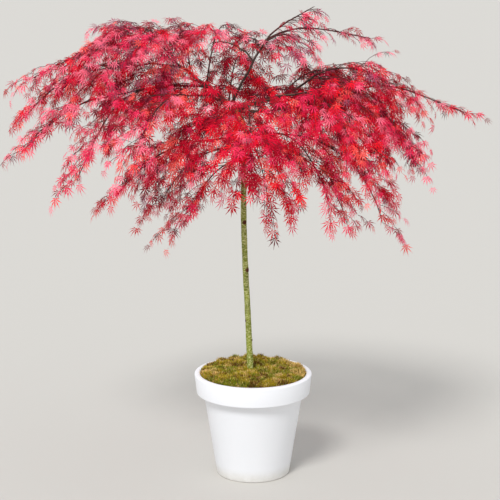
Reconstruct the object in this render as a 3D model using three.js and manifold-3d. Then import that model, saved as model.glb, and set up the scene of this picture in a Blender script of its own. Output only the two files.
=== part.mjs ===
// A weeping laceleaf maple on a straight stem, growing in a round white planter.
//
// Units are millimetres and +Z is up. The origin is the middle of the planter's flat underside,
// +X points to the crown's right and +Y to its back. Azimuths are degrees from +X, turning towards +Y,
// and pitches are degrees above the horizontal.
//
// The planter holds compost with a cap of moss. The trunk stands on the compost and forks at the old graft
// into boughs. Every bough ends where it enters a mass of foliage. A mass is one main stem that carries
// side shoots, with lobed leaves fused on, and it keeps to the space that lies nearer to its own twigs
// than to any other mass's.
import * as THREE from 'three';
import { mergeVertices } from 'three/addons/utils/BufferGeometryUtils.js';
import Module from 'manifold-3d';

const wasm = await Module();
wasm.setup();

// ---------------------------------------------------------------- driving dimensions

const GAP = 0.3; // clearance between solids that carry each other

const POT = {
  height: 354,
  rimRadius: 200, // outside, at the top of the band
  bandFootRadius: 193, // outside, at the foot of the band
  bandHeight: 68,
  bodyTopRadius: 169, // just under the band
  footRadius: 125,
  mouthRadius: 180.5, // inside, at the top
  wall: 7,
  floor: 9,
  edge: 5, // rounding of the rim and the foot
  edgeSteps: 2,
  lip: 2, // the band's lower edge is cut back by this much, over a little more height
  lipHeight: 3,
  shoulder: 6, // the wall inside steps in from this far above the band's foot
  shoulderFall: 16, // to this much lower
  segments: 32,
};

const COMPOST_TOP = 338;

const MOSS = {
  innerRadius: 15, // leaves room for the trunk's flared foot
  outerRadius: 179,
  rimHeight: 14, // thickness at the edge, at the middle, and the most that a cushion adds
  middleHeight: 23,
  cushionHeight: 18,
  frontShare: 0.35, // how much of its height a cushion at the front has
  rings: 5,
  segments: 24,
  seed: 41,
};

// The trunk's centreline: [height above the compost, x, y]. It leans a little to the left
// and turns sharply left into the graft at the top.
const TRUNK_PATH = [
  [0, -8, 0],
  [223, -18, 2],
  [400, -27, 5],
  [575, -32, 4],
  [800, -31, 0],
  [868, -35, -1],
  [905, -55, 0],
  [935, -88, 0],
];
const TRUNK = { footRadius: 13.4, radius: 10.4, topRadius: 8.8, flareHeight: 15, sides: 8, steps: 16 };

// The boughs. Each is one planar arch:
// parent, place along the parent, azimuth, reach, rise, pitch at the start and at the end, radii.
const BOUGHS = {
  bough_left: ['trunk', 0.985, 178, 200, 156, 44, 34, 6.4, 4.2],
  bough_left_level: ['bough_left', 0.78, 176, 285, -8, 14, -6, 3.9, 2.8],
  bough_left_low: ['bough_left', 0.36, 188, 320, -24, 8, -12, 3.9, 2.6],
  bough_upright: ['trunk', 0.985, 6, 132, 230, 61, 55, 4.6, 3.2],
  bough_upright_left: ['bough_upright', 0.62, 172, 112, 66, 58, 10, 2.9, 2.3],
  bough_right: ['trunk', 0.975, 356, 268, 106, 8, 40, 5.0, 3.4],
  bough_right_long: ['trunk', 0.955, 3, 395, 70, -2, 15, 4.6, 3.2],
  bough_right_low: ['trunk', 0.85, 352, 135, 22, 26, -8, 4.2, 3.2],
  bough_left_drop: ['trunk', 0.84, 192, 110, 12, 28, -12, 4.0, 3.0],
  bough_front_left: ['trunk', 0.965, 232, 235, 66, 34, 2, 4.8, 3.2],
  bough_front: ['trunk', 0.94, 278, 215, 58, 34, 0, 4.6, 3.2],
  bough_front_right: ['trunk', 0.95, 318, 250, 78, 30, 6, 4.8, 3.2],
  bough_back_right: ['trunk', 0.95, 50, 245, 34, 22, -4, 4.6, 3.2],
  bough_back: ['trunk', 0.965, 92, 235, 40, 26, -4, 4.6, 3.2],
  bough_back_left: ['trunk', 0.975, 138, 235, 90, 40, 8, 4.8, 3.2],
};
const BOUGH = { sides: 5, steps: 5 };
const HANDLE = 0.38; // how far an arch keeps its first and its last pitch, as a share of its span

// The masses of foliage. Each has a main stem that is one arch:
// parent, place along the parent, azimuth, reach, rise, pitch at the start and at the end,
// length of its longest side shoot, number of side shoots.
const MASSES = {
  left_crest: ['bough_left', 1, 180, 460, -72, 32, -28, 150, 5],
  left_crest_front: ['bough_left', 0.92, 214, 270, 52, 62, -44, 170, 5],
  left_crest_back: ['bough_left', 0.88, 140, 240, 88, 64, -34, 160, 5],
  left_shoot: ['bough_left', 0.66, 118, 120, 160, 78, 10, 140, 4],
  crest_middle: ['bough_left', 0.4, 62, 150, 188, 76, -16, 110, 4],
  left_long: ['bough_left_level', 1, 182, 236, -150, -6, -46, 110, 4],
  left_long_front: ['bough_left_level', 0.55, 234, 200, -70, 26, -60, 160, 4],
  left_long_back: ['bough_left_level', 0.72, 152, 250, -100, 8, -50, 150, 4],
  left_low: ['bough_left_low', 1, 183, 296, -182, -6, -44, 130, 4],
  left_low_front: ['bough_left_low', 0.64, 207, 250, -285, -10, -60, 110, 4],
  left_skirt: ['bough_left_drop', 1, 190, 320, -180, 2, -50, 150, 4],
  left_skirt_inner: ['trunk', 0.79, 205, 200, -195, -6, -70, 150, 4],
  left_skirt_back: ['trunk', 0.81, 150, 330, -200, 12, -60, 170, 4],
  crest_front: ['bough_left', 0.75, 236, 200, 100, 68, -34, 150, 4],
  centre_left: ['bough_left', 0.22, 222, 220, -20, 44, -52, 160, 4],
  centre_left_low: ['trunk', 0.9, 222, 230, -60, 34, -60, 160, 4],
  centre_back: ['trunk', 0.99, 76, 160, 145, 72, -16, 140, 4],
  centre_right: ['bough_right', 0.14, 336, 230, 20, 52, -46, 160, 5],
  top_right: ['bough_upright', 1, 4, 148, 94, 42, 30, 75, 3],
  top_right_twig: ['bough_upright', 0.94, 356, 345, 4, 32, -8, 50, 4],
  top_right_front: ['bough_upright', 0.8, 322, 145, 30, 54, -46, 110, 4],
  top_centre: ['bough_upright_left', 1, 246, 150, 24, 54, -46, 120, 4],
  top_back: ['bough_upright', 0.72, 96, 130, 28, 54, -46, 120, 4],
  right_arch: ['bough_right', 1, 357, 270, -55, 30, -50, 150, 5],
  right_arch_front: ['bough_right', 0.84, 312, 280, -90, 34, -60, 180, 5],
  right_arch_back: ['bough_right', 0.6, 38, 245, 30, 50, -52, 165, 5],
  right_long: ['bough_right_long', 1, 1, 380, -80, 18, -16, 80, 4],
  right_long_front: ['bough_right_long', 0.84, 330, 270, -190, 12, -66, 130, 4],
  right_long_back: ['bough_right_long', 0.7, 28, 280, -170, 6, -64, 150, 4],
  right_skirt: ['bough_right_low', 1, 356, 328, -295, 0, -76, 140, 4],
  right_skirt_front: ['bough_right_low', 0.7, 316, 255, -205, 10, -66, 150, 4],
  right_skirt_back: ['trunk', 0.83, 24, 382, -265, 8, -68, 160, 4],
  front_left: ['bough_front_left', 1, 228, 230, -150, 16, -62, 160, 4],
  front: ['bough_front', 1, 272, 285, -145, 20, -60, 185, 5],
  front_right: ['bough_front_right', 1, 312, 280, -180, 18, -64, 190, 4],
  front_skirt: ['trunk', 0.845, 290, 240, -175, 20, -64, 150, 4],
  back_right: ['bough_back_right', 1, 56, 270, -190, -4, -62, 190, 4],
  back: ['bough_back', 1, 88, 290, -175, -2, -60, 190, 4],
  back_left: ['bough_back_left', 1, 134, 290, -150, 8, -58, 190, 4],
};

// The rule by which a mass grows.
const SHOOT = {
  sides: 3,
  steps: 2,
  stemSteps: 4,
  first: 0.12, // place of the first and the last side shoot along the stem
  last: 0.86,
  turn: 54, // azimuth of the first shoot away from the stem, and of the last one
  turnLast: 30,
  placeScatter: 0.03,
  turnScatter: 10,
  reachScatter: 0.12,
  droop: 0.22, // how far a shoot falls for its reach, and how much more where the stem hangs
  droopHanging: 0.6,
  taper: 0.5, // how much shorter the last shoot is than the first
  followStem: 0.6, // a shoot starts at this share of its stem's pitch, lifted by some degrees,
  lift: 10,
  hook: 22, // and ends this much steeper than the line from its root to its tip
  stemRadius: 3, // the stem's root, at most, and its tip
  stemTipRadius: 1.3,
  thinner: 0.48, // a shoot's root beside its stem's radius there
  tipRadius: 0.8,
};

const LEAF = {
  length: 118,
  thickness: 1.6,
  stalk: 0.12, // from here on the blade stays clear of its own mass's twigs
  palm: 0.24, // where the blade is thickest, as a share of the length
  lobe: [0.6, 0.34], // the side lobe's tip, along the leaf and out from its middle
  notch: [0.605, 0.1], // the notch between the lobes
  stemTip: 0.99, // places of the leaf at the end of a stem and of a shoot
  shootTip: 0.95,
  shootPairs: [0.56], // places of the pairs of leaves along a shoot
  pairTurn: 66, // azimuth of the paired leaves away from their twig
  pitch: -34, // how far a leaf hangs, more so where its twig hangs
  followTwig: 0.4,
  scatter: 22,
  rollScatter: 44, // how far the blade may be turned about its middle
  sizeScatter: 0.1,
  tries: 9,
  shrink: 0.93, // size of each new try
};

// Points along a main stem or a bough and along a shoot, the share of a shoot at its root that isn't tested,
// the clearance between twigs of different masses, and the clearance at the border of a mass's space.
const SPACE = { stemSamples: 24, samples: 12, shootRoot: 0.2, twigClearance: 14, margin: 0.5 };

const FINISH = {
  planter: { color: 0xf2f2f0, roughness: 0.35 },
  compost: { color: 0x3a2c20, roughness: 0.95 },
  moss: { color: 0x7c7a2e, roughness: 0.95 },
  trunk: { color: 0x8a9440, roughness: 0.7 },
  bough: { color: 0x4a332b, roughness: 0.8 },
  foliage: [0xc81432, 0xd8203a, 0x8c1028, 0xe0483c].map((color) => ({ color, roughness: 0.6 })),
};

// ---------------------------------------------------------------- small helpers

const radians = THREE.MathUtils.degToRad;
const mix = THREE.MathUtils.lerp;

// A repeatable stream of numbers from 0 to 1.
function seeded(seed) {
  let state = (seed * 7919 + 17) % 2147483647;
  return () => {
    state = (state * 16807) % 2147483647;
    return state / 2147483647;
  };
}

const scatter = (random, size) => (2 * random() - 1) * size;

function heading(azimuth, pitch = 0) {
  const flat = Math.cos(radians(pitch));
  return new THREE.Vector3(
    Math.cos(radians(azimuth)) * flat,
    Math.sin(radians(azimuth)) * flat,
    Math.sin(radians(pitch)),
  );
}

function toSolid(geometry) {
  const bare = new THREE.BufferGeometry();
  bare.setAttribute('position', geometry.getAttribute('position'));
  bare.setIndex(geometry.index);
  const merged = mergeVertices(bare, 1e-3);
  return new wasm.Manifold(
    new wasm.Mesh({
      numProp: 3,
      vertProperties: new Float32Array(merged.attributes.position.array),
      triVerts: new Uint32Array(merged.index.array),
    }),
  );
}

function toGeometry(solid) {
  const mesh = solid.getMesh();
  const geometry = new THREE.BufferGeometry();
  geometry.setAttribute('position', new THREE.BufferAttribute(mesh.vertProperties, 3));
  geometry.setIndex(new THREE.BufferAttribute(mesh.triVerts, 1));
  return geometry;
}

// A closed geometry from rings of points, each ring turning anticlockwise as seen from the last one.
function loft(rings) {
  const sides = rings[0].length;
  const points = rings.flat();
  const faces = [];
  for (let ring = 0; ring + 1 < rings.length; ring++) {
    for (let i = 0; i < sides; i++) {
      const a = ring * sides + i;
      const b = ring * sides + ((i + 1) % sides);
      faces.push(a, b, b + sides, a, b + sides, a + sides);
    }
  }
  const last = (rings.length - 1) * sides;
  for (let i = 1; i + 1 < sides; i++) {
    faces.push(0, i + 1, i, last, last + i, last + i + 1);
  }
  const geometry = new THREE.BufferGeometry().setFromPoints(points);
  geometry.setIndex(faces);
  return geometry;
}

// The largest of a cut solid's pieces.
function largest(solid) {
  const pieces = solid.decompose().sort((a, b) => b.volume() - a.volume());
  return pieces[0];
}

function boxesApart(a, b) {
  return [0, 1, 2].some((k) => a.min[k] > b.max[k] || b.min[k] > a.max[k]);
}

function touchesAny(solid, others) {
  const box = solid.boundingBox();
  return others.some((other) => !boxesApart(box, other.box) && !solid.intersect(other.solid).isEmpty());
}

const boxed = (solid) => ({ solid, box: solid.boundingBox() });

// ---------------------------------------------------------------- limbs

// A tapering limb along a curve, faceted at equal steps. side is a direction square to the plane
// that the curve lies in. Whatever grows on the limb starts on the straight line between two facets.
class Limb {
  constructor(curve, side, radiusAt, steps) {
    this.curve = curve;
    this.side = side;
    this.radiusAt = radiusAt;
    this.steps = steps;
    this.stops = Array.from({ length: steps + 1 }, (_, i) => curve.getPointAt(i / steps));
  }

  point(t) {
    const step = Math.min(Math.floor(t * this.steps), this.steps - 1);
    return this.stops[step].clone().lerp(this.stops[step + 1], t * this.steps - step);
  }

  pitch(t) {
    return THREE.MathUtils.radToDeg(Math.asin(this.curve.getTangentAt(t).z));
  }

  // Points at equal steps along the limb, from a place on it to its tip.
  samples(count, from = 0) {
    return Array.from({ length: count }, (_, i) => this.point(mix(from, 1, (i + 1) / count)));
  }

  ring(step, sides, grow) {
    const t = step / this.steps;
    const tangent = this.curve.getTangentAt(t);
    const up = new THREE.Vector3().crossVectors(tangent, this.side).normalize();
    const across = new THREE.Vector3().crossVectors(tangent, up);
    const shift = step === this.steps ? grow : step === 0 ? -grow : 0;
    const centre = this.stops[step].clone().addScaledVector(tangent, shift);
    const radius = this.radiusAt(t) + grow;
    return Array.from({ length: sides }, (_, i) => {
      const turn = (2 * Math.PI * (i + 0.5)) / sides;
      return centre
        .clone()
        .addScaledVector(up, Math.cos(turn) * radius)
        .addScaledVector(across, Math.sin(turn) * radius);
    });
  }

  rings(sides, grow = 0) {
    return Array.from({ length: this.steps + 1 }, (_, step) => this.ring(step, sides, grow));
  }

  solid(sides, grow = 0) {
    return toSolid(loft(this.rings(sides, grow)));
  }
}

// A planar arch from a point: its reach is horizontal and its rise vertical.
function arch(start, azimuth, shape, rootRadius, tipRadius, steps) {
  const [reach, rise, pitchStart, pitchEnd] = shape;
  const end = start.clone().addScaledVector(heading(azimuth), reach);
  end.z += rise;
  const handle = HANDLE * start.distanceTo(end);
  const curve = new THREE.CubicBezierCurve3(
    start,
    start.clone().addScaledVector(heading(azimuth, pitchStart), handle),
    end.clone().addScaledVector(heading(azimuth, pitchEnd), -handle),
    end,
  );
  const limb = new Limb(curve, heading(azimuth + 90), (t) => mix(rootRadius, tipRadius, t), steps);
  limb.azimuth = azimuth;
  return limb;
}

function makeTrunk() {
  const foot = COMPOST_TOP + GAP;
  const points = TRUNK_PATH.map(([height, x, y]) => new THREE.Vector3(x, y, foot + height));
  const curve = new THREE.CatmullRomCurve3(points);
  const length = curve.getLength();
  const flare = (t) => (TRUNK.footRadius - TRUNK.radius) * Math.exp((-t * length) / TRUNK.flareHeight);
  const radiusAt = (t) => mix(TRUNK.radius, TRUNK.topRadius, t) + flare(t);
  return new Limb(curve, new THREE.Vector3(0, 1, 0), radiusAt, TRUNK.steps);
}

// The trunk's foot is cut flat at ground level.
function trunkSolid(trunk) {
  const rings = trunk.rings(TRUNK.sides);
  for (const point of rings[0]) {
    point.z = COMPOST_TOP + GAP;
  }
  return toSolid(loft(rings));
}

// ---------------------------------------------------------------- leaves and masses

// A leaf: a thin plate with a flat back and three lobes, thickest in the middle. Its stalk starts at root,
// forward is the way it points and lift is square to its blade.
function makeBlade(root, forward, lift, size) {
  const across = new THREE.Vector3().crossVectors(lift, forward);
  const place = ([along, sideways], height = 0) =>
    root
      .clone()
      .addScaledVector(forward, along * size)
      .addScaledVector(across, sideways * size)
      .addScaledVector(lift, height);
  const [[lobeAlong, lobeOut], [notchAlong, notchOut]] = [LEAF.lobe, LEAF.notch];
  const edge = [
    place([lobeAlong, -lobeOut]),
    place([notchAlong, -notchOut]),
    place([1, 0]),
    place([notchAlong, notchOut]),
    place([lobeAlong, lobeOut]),
  ];
  return { root, edge, top: place([LEAF.palm, 0], LEAF.thickness), stalkEnd: place([LEAF.stalk, 0]) };
}

// Six faces rise from the rim to the top, and four close the flat back.
function bladeSolid({ root, edge, top }) {
  const [rootAt, right, rightNotch, tip, leftNotch, left, topAt] = [0, 1, 2, 3, 4, 5, 6];
  const back = [
    [rootAt, left, right],
    [right, left, rightNotch],
    [rightNotch, left, leftNotch],
    [rightNotch, leftNotch, tip],
  ];
  const faces = back.flat();
  for (let i = 0; i < topAt; i++) {
    faces.push(i, (i + 1) % topAt, topAt);
  }
  const geometry = new THREE.BufferGeometry().setFromPoints([root, ...edge, top]);
  geometry.setIndex(faces);
  return toSolid(geometry);
}

// The side shoots of a mass, by a seeded rule: they alternate along the stem, turn less
// and get shorter towards its tip, and hang down.
function makeShoots(stem, longest, count, random) {
  return Array.from({ length: count }, (_, i) => {
    const share = i / (count - 1);
    const at = mix(SHOOT.first, SHOOT.last, share) + scatter(random, SHOOT.placeScatter);
    const side = i % 2 === 0 ? 1 : -1;
    const turn = side * mix(SHOOT.turn, SHOOT.turnLast, share) + scatter(random, SHOOT.turnScatter);
    const reach = longest * (1 - SHOOT.taper * share) * (1 + scatter(random, SHOOT.reachScatter));
    const pitch = stem.pitch(at);
    const hanging = Math.max(0, Math.sin(radians(-pitch)));
    const fall = reach * (SHOOT.droop + SHOOT.droopHanging * hanging);
    const chord = -THREE.MathUtils.radToDeg(Math.atan2(fall, reach));
    const shape = [reach, -fall, pitch * SHOOT.followStem + SHOOT.lift, chord - SHOOT.hook];
    const rootRadius = SHOOT.thinner * stem.radiusAt(at);
    return arch(stem.point(at), stem.azimuth + turn, shape, rootRadius, SHOOT.tipRadius, SHOOT.steps);
  });
}

// Every place on a mass where a leaf may grow: on which limb, where along it, and how far turned.
function leafPlaces(stem, shoots) {
  const places = [{ limb: stem, at: LEAF.stemTip, turn: 0 }];
  const addPairs = (limb, pairs) => {
    for (const at of pairs) {
      places.push({ limb, at, turn: LEAF.pairTurn }, { limb, at, turn: -LEAF.pairTurn });
    }
  };
  for (const shoot of shoots) {
    places.push({ limb: shoot, at: LEAF.shootTip, turn: 0 });
    addPairs(shoot, LEAF.shootPairs);
  }
  return places;
}

function makeLeaf({ limb, at, turn }, size, random) {
  const azimuth = limb.azimuth + turn + scatter(random, LEAF.scatter);
  const pitch = mix(LEAF.pitch, limb.pitch(at), LEAF.followTwig) + scatter(random, LEAF.scatter);
  const forward = heading(azimuth, pitch);
  const roll = radians(scatter(random, LEAF.rollScatter));
  const lift = heading(azimuth, pitch + 90).applyAxisAngle(forward, roll);
  return makeBlade(limb.point(at), forward, lift, size * (1 + scatter(random, LEAF.sizeScatter)));
}

// The leaves that find room on a mass. inSpace says whether a point is in the mass's own space,
// and others are the solids that they have to stay clear of.
function growLeaves({ stem, shoots, random, twigs: ownTwigs }, inSpace, others) {
  const twigs = boxed(ownTwigs);
  const leaves = [];
  for (const place of leafPlaces(stem, shoots)) {
    for (let attempt = 0; attempt < LEAF.tries; attempt++) {
      const blade = makeLeaf(place, LEAF.length * LEAF.shrink ** attempt, random);
      if (!blade.edge.every(inSpace)) {
        continue;
      }
      const leaf = bladeSolid(blade);
      const outer = bladeSolid({ ...blade, root: blade.stalkEnd });
      if (!touchesAny(leaf, others) && !touchesAny(leaf, leaves) && !touchesAny(outer, [twigs])) {
        leaves.push(boxed(leaf));
        break;
      }
    }
  }
  return leaves;
}

// ---------------------------------------------------------------- planter, compost and moss

// A solid of revolution about +Z from a closed [radius, height] profile.
function turned(profile, segments) {
  const points = profile.map(([radius, height]) => new THREE.Vector2(radius, height));
  const geometry = new THREE.LatheGeometry(points, segments);
  geometry.rotateX(Math.PI / 2);
  return toSolid(geometry);
}

// A quarter round about a centre on the profile, between two directions in degrees.
function roundedEdge(radius, height, from, to) {
  return Array.from({ length: POT.edgeSteps + 1 }, (_, i) => {
    const turn = radians(mix(from, to, i / POT.edgeSteps));
    return [radius + POT.edge * Math.cos(turn), height + POT.edge * Math.sin(turn)];
  });
}

// Inside radius of the planter at a height, on its tapering wall.
function wallInside(height) {
  const share = height / (POT.height - POT.bandHeight);
  return mix(POT.footRadius, POT.bodyTopRadius, share) - POT.wall;
}

function planterSolid() {
  const bandFoot = POT.height - POT.bandHeight;
  const rim = POT.height - POT.edge;
  const shoulder = bandFoot + POT.shoulder;
  const shoulderFoot = shoulder - POT.shoulderFall;
  return turned(
    [
      [0, 0],
      ...roundedEdge(POT.footRadius - POT.edge, POT.edge, -90, 0),
      [POT.bodyTopRadius, bandFoot],
      [POT.bandFootRadius - POT.lip, bandFoot],
      [POT.bandFootRadius, bandFoot + POT.lipHeight],
      ...roundedEdge(POT.rimRadius - POT.edge, rim, 0, 90),
      ...roundedEdge(POT.mouthRadius + POT.edge, rim, 90, 180),
      [POT.mouthRadius, shoulder],
      [wallInside(shoulderFoot), shoulderFoot],
      [wallInside(POT.floor), POT.floor],
      [0, POT.floor],
    ],
    POT.segments,
  );
}

// The compost fills the planter up to the moss, clear of its wall and floor.
function compostSolid() {
  const shoulder = POT.height - POT.bandHeight + POT.shoulder;
  const shoulderFoot = shoulder - POT.shoulderFall;
  return turned(
    [
      [0, POT.floor + GAP],
      [wallInside(POT.floor) - GAP, POT.floor + GAP],
      [wallInside(shoulderFoot) - GAP, shoulderFoot + GAP],
      [POT.mouthRadius - GAP, shoulder + GAP],
      [POT.mouthRadius - GAP, COMPOST_TOP],
      [0, COMPOST_TOP],
    ],
    POT.segments,
  );
}

// The moss is a lumpy ring round the trunk's foot. Its cushions stand highest at the back.
function mossSolid() {
  const random = seeded(MOSS.seed);
  const foot = COMPOST_TOP + GAP;
  const footX = TRUNK_PATH[0][1];
  const rings = [];
  const ringAt = (share, height) =>
    Array.from({ length: MOSS.segments }, (_, i) => {
      const turn = (2 * Math.PI * i) / MOSS.segments;
      const radius = mix(MOSS.innerRadius, MOSS.outerRadius, share);
      const x = mix(footX, 0, share) + radius * Math.cos(turn);
      const y = radius * Math.sin(turn);
      return new THREE.Vector3(x, y, foot + height(turn));
    });
  rings.push(ringAt(0, () => 0));
  for (let i = 0; i <= MOSS.rings; i++) {
    const share = i / MOSS.rings;
    const inner = i > 0 && i < MOSS.rings;
    rings.push(
      ringAt(share, (turn) => {
        const back = Math.max(0, Math.sin(turn)) * share;
        const lump = inner ? MOSS.cushionHeight * random() * mix(MOSS.frontShare, 1, back) : 0;
        return mix(MOSS.middleHeight, MOSS.rimHeight, share ** 3) + lump;
      }),
    );
  }
  rings.push(ringAt(1, () => 0));
  // The rings run round the moss's section, from the hole's foot over the top to the outer foot.
  const sides = MOSS.segments;
  const faces = [];
  for (let ring = 0; ring < rings.length; ring++) {
    const next = (ring + 1) % rings.length;
    for (let i = 0; i < sides; i++) {
      const j = (i + 1) % sides;
      faces.push(ring * sides + i, next * sides + i, next * sides + j);
      faces.push(ring * sides + i, next * sides + j, ring * sides + j);
    }
  }
  const geometry = new THREE.BufferGeometry().setFromPoints(rings.flat());
  geometry.setIndex(faces);
  return toSolid(geometry);
}

// ---------------------------------------------------------------- the whole plant

const plant = new THREE.Group();

function addPart(name, solid, finish) {
  const material = new THREE.MeshStandardMaterial({ ...finish, metalness: 0 });
  const mesh = new THREE.Mesh(toGeometry(solid), material);
  mesh.name = name;
  plant.add(mesh);
}

addPart('planter', planterSolid(), FINISH.planter);
addPart('compost', compostSolid(), FINISH.compost);
addPart('moss', mossSolid(), FINISH.moss);

const limbs = { trunk: makeTrunk() };
const limbSolids = { trunk: trunkSolid(limbs.trunk) };
const grown = { trunk: limbs.trunk.solid(TRUNK.sides, GAP) };

for (const [name, row] of Object.entries(BOUGHS)) {
  const [parent, at, azimuth, ...rest] = row;
  const [rootRadius, tipRadius] = rest.slice(4);
  limbs[name] = arch(limbs[parent].point(at), azimuth, rest.slice(0, 4), rootRadius, tipRadius, BOUGH.steps);
  // A bough is cut clear of its parent, and of the boughs that leave the trunk beside it.
  const whole = limbs[name].solid(BOUGH.sides);
  limbSolids[name] = largest(Object.values(grown).reduce((solid, other) => solid.subtract(other), whole));
  grown[name] = limbs[name].solid(BOUGH.sides, GAP);
}
addPart('trunk', limbSolids.trunk, FINISH.trunk);
for (const name of Object.keys(BOUGHS)) {
  addPart(name, limbSolids[name], FINISH.bough);
}

// The main stems first, then the shoots that find room between them, then the leaves.
const masses = Object.entries(MASSES).map(([name, row], index) => {
  const [parent, at, azimuth, ...rest] = row;
  const [longest, count] = rest.slice(4);
  const rootRadius = Math.min(SHOOT.stemRadius, limbs[parent].radiusAt(at));
  const start = limbs[parent].point(at);
  const stem = arch(start, azimuth, rest.slice(0, 4), rootRadius, SHOOT.stemTipRadius, SHOOT.stemSteps);
  const random = seeded(index + 1);
  const candidates = makeShoots(stem, longest, count, random);
  return { name, parent, stem, candidates, random, shoots: [], samples: stem.samples(SPACE.stemSamples) };
});

function nearest(samples, point) {
  return Math.sqrt(Math.min(...samples.map((sample) => sample.distanceToSquared(point))));
}

const boughSamples = Object.values(limbs).flatMap((limb) => limb.samples(SPACE.stemSamples));

for (const mass of masses) {
  const foreign = [boughSamples, ...masses.filter((other) => other !== mass).map((other) => other.samples)];
  for (const shoot of mass.candidates) {
    const samples = shoot.samples(SPACE.samples);
    const outer = shoot.samples(SPACE.samples, SPACE.shootRoot);
    const clear = (point) => foreign.every((others) => nearest(others, point) > SPACE.twigClearance);
    if (outer.every(clear)) {
      mass.shoots.push(shoot);
      mass.samples.push(...samples);
    }
  }
  const twigs = [mass.stem, ...mass.shoots].map((limb) => limb.solid(SHOOT.sides));
  mass.clearance = mass.parent === 'trunk' ? grown.trunk : grown[mass.parent].add(grown.trunk);
  mass.twigs = wasm.Manifold.union(twigs).subtract(mass.clearance);
}

const limbsKept = Object.values(limbSolids).map(boxed);
const kept = masses.map((mass) => boxed(mass.twigs));
masses.forEach((mass, index) => {
  const others = masses.filter((other) => other !== mass);
  const inSpace = (point) => {
    const own = nearest(mass.samples, point) + SPACE.margin;
    return others.every((other) => nearest(other.samples, point) > own);
  };
  const neighbours = [...limbsKept, ...kept.filter((_, i) => i !== index)];
  const leaves = growLeaves(mass, inSpace, neighbours);
  const joined = wasm.Manifold.union([mass.twigs, ...leaves.map((leaf) => leaf.solid)]);
  const solid = largest(joined.subtract(mass.clearance));
  kept[index] = boxed(solid);
  addPart(mass.name, solid, FINISH.foliage[index % FINISH.foliage.length]);
});

export default plant;
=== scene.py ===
"""A weeping laceleaf maple on a straight stem, growing in a round white planter.

Units are metres and +Z is up, +X points to the crown's right and +Y to its back. Azimuths are degrees
from +X, turning towards +Y, and pitches are degrees above the horizontal.

The trunk, the boughs and the main stem and side shoots of every mass of foliage grow by the rule and the
seeds of the solid model. The same rule then goes on here to finer shoots, twiglets and leaves.
"""

import math
from types import SimpleNamespace as Named

import bmesh
import bpy
import numpy as np
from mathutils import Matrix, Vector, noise


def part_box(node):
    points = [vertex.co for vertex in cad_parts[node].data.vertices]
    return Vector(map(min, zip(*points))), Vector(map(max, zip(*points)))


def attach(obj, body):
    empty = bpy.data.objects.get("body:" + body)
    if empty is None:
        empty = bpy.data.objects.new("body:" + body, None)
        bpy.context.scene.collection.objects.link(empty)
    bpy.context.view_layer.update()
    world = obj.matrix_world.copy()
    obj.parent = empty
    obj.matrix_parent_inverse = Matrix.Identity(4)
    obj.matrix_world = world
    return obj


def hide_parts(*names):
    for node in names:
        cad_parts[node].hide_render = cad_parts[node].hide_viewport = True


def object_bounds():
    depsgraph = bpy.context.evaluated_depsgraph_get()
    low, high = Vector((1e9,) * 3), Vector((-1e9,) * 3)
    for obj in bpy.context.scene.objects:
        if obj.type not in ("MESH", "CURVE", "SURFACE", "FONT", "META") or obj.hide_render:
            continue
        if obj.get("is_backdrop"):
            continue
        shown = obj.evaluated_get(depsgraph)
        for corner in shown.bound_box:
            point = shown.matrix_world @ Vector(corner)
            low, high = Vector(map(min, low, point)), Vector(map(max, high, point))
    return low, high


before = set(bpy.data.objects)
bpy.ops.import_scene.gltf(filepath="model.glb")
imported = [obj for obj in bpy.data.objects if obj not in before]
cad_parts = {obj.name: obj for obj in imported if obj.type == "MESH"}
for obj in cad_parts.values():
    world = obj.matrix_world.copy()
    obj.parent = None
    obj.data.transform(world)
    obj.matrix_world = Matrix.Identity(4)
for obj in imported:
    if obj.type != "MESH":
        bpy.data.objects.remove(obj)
cad_low, cad_high = (np.array(corner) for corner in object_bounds())

UP = np.array([0.0, 0.0, 1.0])

# ---------------- driving dimensions

POT_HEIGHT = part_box("planter")[1].z
POT_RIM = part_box("planter")[1].x
POT = Named(
    band_height=0.068,
    band_foot=0.193,  # outside radius at the foot of the band
    body_top=0.169,  # outside radius just under the band
    foot=0.125,
    mouth=0.1805,  # inside radius at the top
    wall=0.007, floor=0.009,
    edge=0.005,  # rounding of the rim and the foot
    lip=0.002,  # rounding of the band's lower edge
    shoulder=0.006, shoulder_fall=0.016, segments=144,
)
COMPOST_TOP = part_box("compost")[1].z
GAP = 0.0003  # clearance between the moss or the trunk and the compost

MOSS = Named(
    inner=0.012, outer=0.179,
    rim_height=0.012,  # how thick it is at the edge and in the middle
    middle_height=0.021,
    fade=0.06,  # the outer share of the radius where the cushions end
    rings=44, segments=150, cushions=150, cushion_reach=0.95, cushion_radius=(0.012, 0.030),
    cushion_height=(0.003, 0.009), higher_at_back=0.016,
    steepness=1.6,  # of a cushion's side
    lumps=((0.0022, 95, 0), (0.0012, 260, 3)),  # height, scale and offset of the noise
)
STRANDS = Named(
    count=15000,
    area=0.985,  # share of the moss that has strands
    stray=0.5,  # share that doesn't have the tint of its cushion
    blades=4,
    lean=(0.3, 0.95),  # sine of the angle from upright
    length=(0.0065, 0.0150), half_width=0.0012, apart=0.0006, sunk=0.0015,
)
# Tints of the strands: finish, colour and share of the cushions.
MOSS_TINTS = {
    "olive": ("golden olive moss", (186, 162, 28), 0.34),
    "green": ("green moss", (128, 142, 10), 0.30),
    "straw": ("straw moss", (240, 206, 130), 0.16),
    "brown": ("brown moss", (116, 72, 18), 0.20),
}

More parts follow.
